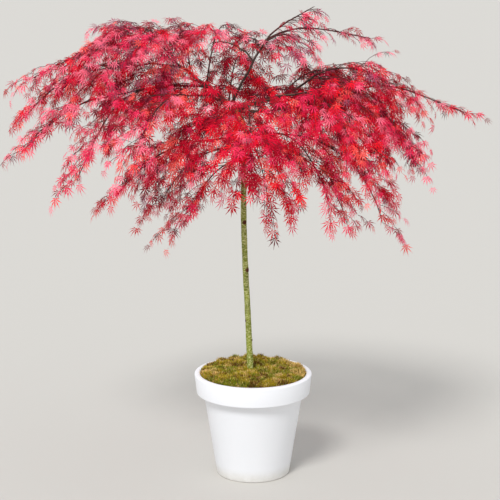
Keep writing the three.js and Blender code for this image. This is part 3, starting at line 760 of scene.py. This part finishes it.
def turned(section, steps):
    """A section of radii and heights, turned about the Z axis."""
    bm = bmesh.new()
    corners = [bm.verts.new((radius, 0, height)) for radius, height in section]
    edges = [bm.edges.new(pair) for pair in zip(corners, corners[1:])]
    turn = {"cent": (0, 0, 0), "axis": (0, 0, 1), "angle": 2 * math.pi, "steps": steps}
    bmesh.ops.spin(bm, geom=corners + edges, use_merge=True, **turn)
    bmesh.ops.remove_doubles(bm, verts=bm.verts, dist=1e-6)
    return bm


def arc(radius, height, size, start, end, steps):
    """Points on a rounded edge about a centre on the section, between two directions in degrees."""
    turns = [math.radians(mix(start, end, i / steps)) for i in range(steps + 1)]
    return [(radius + size * math.cos(turn), height + size * math.sin(turn)) for turn in turns]


def wall_inside(height):
    share = height / (POT_HEIGHT - POT.band_height)
    return mix(POT.foot, POT.body_top, share) - POT.wall


def make_planter(material):
    edge, lip = POT.edge, POT.lip
    band_foot, rim = POT_HEIGHT - POT.band_height, POT_HEIGHT - edge
    shoulder = band_foot + POT.shoulder
    shoulder_foot = shoulder - POT.shoulder_fall
    section = [
        (0, 0),
        *arc(POT.foot - edge, edge, edge, -90, -14, 6),
        *arc(POT.body_top + lip, band_foot - lip, lip, 172, 90, 4),
        *arc(POT.band_foot - lip, band_foot + lip, lip, -90, 0, 5),
        *arc(POT_RIM - edge, rim, edge, 3, 90, 8),
        *arc(POT.mouth + edge, rim, edge, 90, 180, 8),
        (POT.mouth, shoulder),
        (wall_inside(shoulder_foot), shoulder_foot),
        (wall_inside(POT.floor), POT.floor),
        (0, POT.floor),
    ]
    bm = turned(section, POT.segments)
    bmesh.ops.recalc_face_normals(bm, faces=bm.faces)
    piece = object_from(bm, "planter_shell")
    place(piece, material, "planter", "planter")


def moss_cushions():
    """The cushions of the moss: x, y, radius and height. They stand highest at the back."""
    draw = seeded(SEEDS.cushions)
    cushions = []
    for _ in range(MOSS.cushions):
        reach = MOSS.outer * math.sqrt(draw()) * MOSS.cushion_reach
        turn = 2 * math.pi * draw()
        x, y = reach * math.cos(turn), reach * math.sin(turn)
        back = max(0, y) / MOSS.outer
        size, height = mix(*MOSS.cushion_radius, draw()), mix(*MOSS.cushion_height, draw())
        cushions.append((x, y, size, height + MOSS.higher_at_back * back * draw()))
    return np.array(cushions)


def moss_top(points, cushions):
    """Height of the moss above the compost at points in plan, and the number of the cushion on top."""
    radius = np.hypot(points[:, 0], points[:, 1]) / MOSS.outer
    base = mix(MOSS.middle_height, MOSS.rim_height, np.clip(radius, 0, 1) ** 3)
    gaps = ((points[:, None, :2] - cushions[None, :, :2]) ** 2).sum(axis=2) / cushions[:, 2] ** 2
    domes = cushions[:, 3] * np.exp(-MOSS.steepness * gaps)
    fade = np.clip((1 - radius) / MOSS.fade, 0, 1)
    return base + domes.max(axis=1) * fade, domes.argmax(axis=1)


def make_moss(surface):
    """The lumpy moss, on a foot at its outer edge that stands on the compost, and its strands."""
    cushions = moss_cushions()
    reach = np.linspace(MOSS.inner, MOSS.outer, MOSS.rings)
    foot, on_top = -1, 0  # until the real heights are known
    bm = turned([*((radius, on_top) for radius in reach), (MOSS.outer, foot)], MOSS.segments)
    bmesh.ops.holes_fill(bm, edges=bm.edges, sides=0)
    points = np.array([vertex.co for vertex in bm.verts])
    tops, _ = moss_top(points, cushions)
    tops += sum(size * noise_at(points, scale, offset) for size, scale, offset in MOSS.lumps)
    radius = np.hypot(points[:, 0], points[:, 1])
    shifts = TRUNK_PATH[0][1] * np.clip(1 - radius / MOSS.outer, 0, 1)
    for vertex, top, shift in zip(bm.verts, tops, shifts):
        vertex.co.x += shift
        vertex.co.z = COMPOST_TOP + GAP + (0 if vertex.co.z < on_top - 0.5 else top)
    bmesh.ops.recalc_face_normals(bm, faces=bm.faces)
    place(object_from(bm, "moss_cushions"), surface, "moss", "moss")
    make_strands(cushions)


def make_strands(cushions):
    """Short tufts of moss, dealt out in tints by cushion."""
    generator = np.random.default_rng(SEEDS.strands)
    count, kinds = STRANDS.count, len(MOSS_TINTS)
    area = mix((MOSS.inner / MOSS.outer) ** 2, STRANDS.area, generator.random(count))
    reach = np.sqrt(area) * MOSS.outer
    turn = generator.random(count) * 2 * math.pi
    plan = np.stack([reach * np.cos(turn), reach * np.sin(turn)], axis=1)
    tops, owner = moss_top(plan, cushions)
    shares = [share for _, _, share in MOSS_TINTS.values()]
    own = generator.choice(kinds, len(cushions), p=shares)[owner]
    stray = generator.random(count) < STRANDS.stray
    own = np.where(stray, generator.integers(0, kinds, count), own)
    for number, (name, (finish, colour, _)) in enumerate(MOSS_TINTS.items()):
        chosen = own == number
        heights = COMPOST_TOP + GAP + tops[chosen] - STRANDS.sunk
        blades = tufts(np.column_stack([plan[chosen], heights]), generator)
        piece = joined_mesh("moss_" + name, blades, [(0, 1, 2)])
        place(piece, Finish(finish, 0.9, colour).material, "moss", "moss")


def tufts(roots, generator):
    """Little pointed blades that lean away from each root."""
    blades = (len(roots), STRANDS.blades)
    turn = generator.random(blades) * 2 * math.pi
    lean = mix(*STRANDS.lean, generator.random(blades))
    length = mix(*STRANDS.length, generator.random(blades))
    out = np.stack([np.cos(turn), np.sin(turn), np.zeros_like(turn)], axis=2)
    sideways = np.stack([-np.sin(turn), np.cos(turn), np.zeros_like(turn)], axis=2) * STRANDS.half_width
    foot = roots[:, None] + out * STRANDS.apart
    tip = foot + out * (length * lean)[..., None] + UP * (length * np.sqrt(1 - lean**2))[..., None]
    return np.stack([foot - sideways, foot + sideways, tip], axis=2).reshape(-1, 3, 3)


# ---------------- materials


class Tree:
    """The nodes of a material or of a node group. What makes a node gives its outputs."""

    def __init__(self, tree):
        self.tree = tree

    def feed(self, socket, value):
        """Links an output to an input, or sets the input to a plain value."""
        if isinstance(value, bpy.types.NodeSocket):
            self.tree.links.new(value, socket)
        else:
            socket.default_value = value

    def add(self, kind, inputs=None, **settings):
        node = self.tree.nodes.new("ShaderNode" + kind)
        for name, value in settings.items():
            setattr(node, name, value)
        for name, value in (inputs or {}).items():
            self.feed(node.inputs[name], value)
        return node.outputs

    def at(self):
        """The object's own coordinates."""
        return self.add("TexCoord")["Object"]

    def height(self, vector=None):
        """The Z of a vector, or else of the object's own coordinates."""
        return self.add("SeparateXYZ", {"Vector": vector or self.at()})["Z"]

    def ramp(self, value, low, high):
        """A mask that rises from 0 to 1 between two values."""
        inputs = {"Value": value, "From Min": low, "From Max": high}
        return self.add("MapRange", inputs, interpolation_type="SMOOTHSTEP")["Result"]

    def blend(self, mask, first, second):
        return self.add("Mix", {"Factor": mask, "A": first, "B": second}, data_type="RGBA")["Result"]

    def spot(self, place, size):
        """A round mask about a point on the object."""
        away = self.add("VectorMath", {0: self.at(), 1: place.tolist()}, operation="DISTANCE")
        return self.ramp(away["Value"], size, 0.5 * size)

    def mottle(self, scale, stretch, contrast, dark, light):
        """The colour and the height of the mottle group."""
        inputs = {"Scale": scale, "Stretch": stretch, "Contrast": contrast}
        inputs |= {"Dark": linear(*dark), "Light": linear(*light)}
        made = self.add("Group", inputs, node_tree=mottle)
        return made["Color"], made["Height"]


class Finish(Tree):
    """A material and its surface shader."""

    def __init__(self, name, roughness, colour=(255, 255, 255), specular=0.5):
        self.material = bpy.data.materials.new(name)
        self.material.use_nodes = True
        super().__init__(self.material.node_tree)
        self.surface("Roughness", roughness)
        self.colour(linear(*colour))
        self.surface("Specular IOR Level", specular)

    def surface(self, name, value):
        self.feed(self.tree.nodes["Principled BSDF"].inputs[name], value)

    def colour(self, value):
        self.surface("Base Color", value)

    def bump(self, height, strength, distance):
        inputs = {"Height": height, "Strength": strength, "Distance": distance}
        self.surface("Normal", self.add("Bump", inputs)["Normal"])


def mottle_group():
    """Two colours and a height in soft patches, on the object's own coordinates."""
    group = bpy.data.node_groups.new("mottle", "ShaderNodeTree")
    taken = dict(Scale="Float", Stretch="Vector", Contrast="Float", Dark="Color", Light="Color")
    given = dict(Color="Color", Height="Float")
    for way, kinds in (("INPUT", taken), ("OUTPUT", given)):
        for name, kind in kinds.items():
            group.interface.new_socket(name=name, in_out=way, socket_type="NodeSocket" + kind)
    tree = Tree(group)
    asked = group.nodes.new("NodeGroupInput").outputs
    made = group.nodes.new("NodeGroupOutput").inputs
    at = tree.add("VectorMath", {0: tree.at(), 1: asked["Stretch"]}, operation="MULTIPLY")[0]
    patches = {"Vector": at, "Scale": asked["Scale"], "Detail": 6.0, "Roughness": 0.62}
    centred = tree.add("Math", {0: tree.add("TexNoise", patches)["Fac"], 1: 0.5}, operation="SUBTRACT")[0]
    contrast = {0: centred, 1: asked["Contrast"], 2: 0.5}
    spread = tree.add("Math", contrast, operation="MULTIPLY_ADD", use_clamp=True)[0]
    tree.feed(made["Color"], tree.blend(spread, asked["Dark"], asked["Light"]))
    tree.feed(made["Height"], spread)
    return group


EVEN = (1, 1, 1)
BLACK, WHITE = (0, 0, 0), (255, 255, 255)


def white_resin():
    """Satin white, a little warmer and duller where dust gathers, near the foot."""
    finish = Finish("satin white resin", 0.36)
    clean, _ = finish.mottle(5.0, EVEN, 0.8, (236, 238, 242), (243, 244, 247))
    dusty, dust = finish.mottle(34.0, (1, 1, 1.6), 1.6, (214, 211, 204), (238, 237, 235))
    foot = finish.ramp(finish.height(), 0.05, 0.0)
    finish.colour(finish.blend(foot, clean, dusty))
    dull = finish.add("MapRange", {"Value": dust, "To Min": 0.30, "To Max": 0.44})
    finish.surface("Roughness", dull["Result"])
    return finish.material


def crumbly_compost():
    finish = Finish("crumbly compost", 0.95)
    crumbs, height = finish.mottle(180.0, EVEN, 2.2, (34, 24, 18), (92, 70, 50))
    finish.colour(crumbs)
    finish.bump(height, 0.8, 0.002)
    return finish.material


def moss_surface():
    finish = Finish("moss cushions", 0.95)
    green, height = finish.mottle(160.0, EVEN, 2.4, (56, 52, 6), (170, 150, 26))
    brown, _ = finish.mottle(210.0, EVEN, 2.4, (52, 32, 8), (172, 124, 56))
    _, patches = finish.mottle(17.0, EVEN, 5.0, BLACK, WHITE)
    finish.colour(finish.blend(patches, green, brown))
    finish.bump(height, 0.9, 0.003)
    return finish.material


def stem_bark(limb):
    """Yellow-green at the foot, olive above, and browner and darker near the graft, partly the bark's own
    colour and partly painted shade from the crown; with lenticels and scars.
    """
    finish = Finish("green stem bark", 0.62, specular=0.15)
    low, _ = finish.mottle(95.0, (1, 1, 0.22), 2.2, (92, 108, 14), (150, 162, 46))
    middle, ridges = finish.mottle(110.0, (1, 1, 0.22), 2.4, (74, 84, 12), (136, 144, 44))
    # top: browner bark near the graft, darkened as painted shade from the crown above
    top, _ = finish.mottle(120.0, (1, 1, 0.3), 2.4, (56, 46, 22), (108, 98, 46))
    height = finish.height()
    colour = finish.blend(finish.ramp(height, 0.36, 0.62), low, middle)
    # towards the graft: browner bark with the crown's painted shade over it
    colour = finish.blend(finish.ramp(height, 0.86, 1.16), colour, top)
    _, dashes = finish.mottle(150.0, (0.8, 0.8, 4.5), 9.0, BLACK, WHITE)
    colour = finish.blend(finish.ramp(dashes, 0.82, 0.99), colour, linear(210, 208, 152))
    for at, azimuth, size, _ in TRUNK_MARKS.values():
        share = (at - limb.points[0, 2]) / (limb.points[-1, 2] - limb.points[0, 2])
        spot = limb.point(share) + heading(azimuth) * limb.radius(share)
        spot[2] = at
        colour = finish.blend(finish.spot(spot, 1.7 * size), colour, linear(78, 36, 22))
    finish.colour(colour)
    finish.bump(ridges, 0.5, 0.0006)
    return finish.material


def bough_bark():
    """Dark brown, and greyer and greener on the upper side, where the light falls: painted light."""
    finish = Finish("brown bough bark", 0.7)
    under, ridges = finish.mottle(130.0, EVEN, 2.4, (36, 22, 20), (80, 52, 42))
    above, _ = finish.mottle(120.0, EVEN, 2.4, (60, 54, 38), (104, 96, 68))
    # lit: painted light, the upper side of each bough made paler by its normal
    lit = finish.ramp(finish.height(finish.add("NewGeometry")["Normal"]), 0.25, 0.95)
    finish.colour(finish.blend(lit, under, above))
    finish.bump(ridges, 0.6, 0.0006)
    return finish.material


def twig_bark(name, dark, light):
    finish = Finish(name, 0.65, specular=0.3)
    finish.colour(finish.mottle(60.0, EVEN, 2.6, dark, light)[0])
    return finish.material


def tint_of(point, draw):
    """The tint of a spray, dealt out by where it grows, with paler pinks towards the outer edge and the
    top as painted light and darker reds towards the inside as painted shade.
    """
    beside = abs(point[0])
    # edge and top: more pale pink and rose here, painted light of backlit leaves
    edge = min(1, beside / PARTS.edge) ** 1.5
    top = ramp(point[2], *PARTS.top)
    low = max(0, 1 - beside / PARTS.low_side) * ramp(point[2], *PARTS.low)
    # inside: more dark ruby and maroon here, painted shade deep in the crown
    inside = max(0, 1 - math.hypot(point[0], point[1]) / PARTS.inside) * (1 - top)
    parts = (1, edge, top, low, inside)
    weights = [max(0, sum(a * b for a, b in zip(chances, parts))) for _, _, chances in TINTS.values()]
    mark = draw() * sum(weights)
    for name, weight in zip(TINTS, weights):
        mark -= weight
        if mark <= 0:
            return name
    return "crimson"


# ---------------- the crown


def far_from_limbs(leaf, samples):
    return nearest(samples, leaf[1][None])[0] > LEAF.clear_of_limbs


def in_box(points):
    """Whether points stay inside the plant's box and above the lowest leaves' height."""
    inside = np.all(points > cad_low) and np.all(points < cad_high)
    return inside and points[:, 2].min() > LOWEST_LEAF


def leaf_tips(leaf):
    """The tips of the middle lobe and of the ones at its sides."""
    _, end, forward, lift, size, spread, _ = leaf
    turns = np.radians(LEAF.tips)[:, None] * spread
    return end + size * (np.cos(turns) * forward + np.sin(turns) * np.cross(forward, lift))


def make_crown(limbs):
    """The twigs and leaves, each kind joined, which stand for all the masses together."""
    limb_samples = np.concatenate([limb.samples(SPACE.limb_samples) for limb in limbs.values()])
    leaves = {name: [] for name in TINTS}
    stems, shoots, twiglets = [], [], []
    for mass in grow_masses(limbs):
        draw = mass.draw
        leafy = min(1, FINER.leafy_at_least + mass.fullness)
        sprays, fine = [], []
        for limb in (mass.stem, *mass.shoots):
            kind = "stem" if limb is mass.stem else "shoot"
            sprays.append((limb, 1 - FINER.leafy[kind] * leafy))
            fine += twiglets_on(limb, kind, mass)
        fine = [twiglet for twiglet in fine if in_box(twiglet.points)]
        sprays += [(twiglet, 1 - FINER.leafy["twiglet"]) for twiglet in fine]
        stems.append(mass.stem)
        shoots += mass.shoots
        twiglets += fine
        tint = None
        for twig, start in sprays:
            for leaf in leaves_on(twig, start, draw):
                if draw() < SPRAY_ENDS or not tint:
                    tint = tint_of(leaf[0], draw)
                if in_box(leaf_tips(leaf)) and far_from_limbs(leaf, limb_samples):
                    leaves[tint].append(leaf)
    bark = twig_bark("red-brown twig bark", (52, 24, 26), (96, 46, 42))
    fine_bark = twig_bark("red twiglet bark", (58, 16, 26), (104, 36, 44))
    kinds = [("main", stems, 6, 22, bark), ("side", shoots, 4, 12, bark)]
    kinds.append(("fine", twiglets, 3, 5, fine_bark))
    for name, twigs, sides, stops, finish in kinds:
        place(twigs_mesh("twigs_" + name, twigs, sides, stops), finish, "twig_bark", *MASSES)
    for name, (colour, slot, _) in TINTS.items():
        finish = Finish(name + " leaf", 0.6, colour, specular=0.08)
        piece = leaves_mesh("leaves_" + name, leaves[name])
        place(piece, finish.material, "foliage_" + slot, *MASSES)


# ---------------- floor, light and camera


def make_stage():
    bm = bmesh.new()
    bmesh.ops.create_grid(bm, x_segments=1, y_segments=1, size=60)
    floor = object_from(bm, "floor", smooth=False)
    floor.data.materials.append(Finish("pale floor", 0.9, (193, 190, 184)).material)
    floor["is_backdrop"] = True
    world = bpy.data.worlds.new("studio")
    world.use_nodes = True
    sky = world.node_tree.nodes["Background"].inputs
    sky["Color"].default_value = LIGHT.sky
    sky["Strength"].default_value = LIGHT.fill
    bpy.context.scene.world = world
    light = bpy.data.lights.new("soft key light", "SUN")
    light.energy = LIGHT.energy
    light.angle = math.radians(LIGHT.angle)
    turns = (math.radians(LIGHT.tilt), 0, math.radians(LIGHT.turn))
    linked("soft key light", light).rotation_euler = turns


def make_camera():
    data = bpy.data.cameras.new("camera")
    data.lens = CAMERA.lens
    data.sensor_width = CAMERA.sensor
    data.clip_end = 300
    camera = linked("camera", data)
    camera.location = CAMERA.place
    camera.rotation_euler = (math.radians(90 - CAMERA.down), 0, 0)
    bpy.context.scene.camera = camera
    bpy.context.scene.view_settings.view_transform = "Standard"


make_camera()
make_stage()

mottle = mottle_group()
make_planter(white_resin())
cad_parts["compost"].data.materials.clear()
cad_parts["compost"].data.materials.append(crumbly_compost())
make_moss(moss_surface())

limbs = grow_limbs()
make_trunk(limbs["trunk"], stem_bark(limbs["trunk"]))
brown_bark = bough_bark()
for number, name in enumerate(BOUGHS):
    make_bough("bough_" + name, limbs[name], SEEDS.boughs + number, brown_bark)
make_crown(limbs)
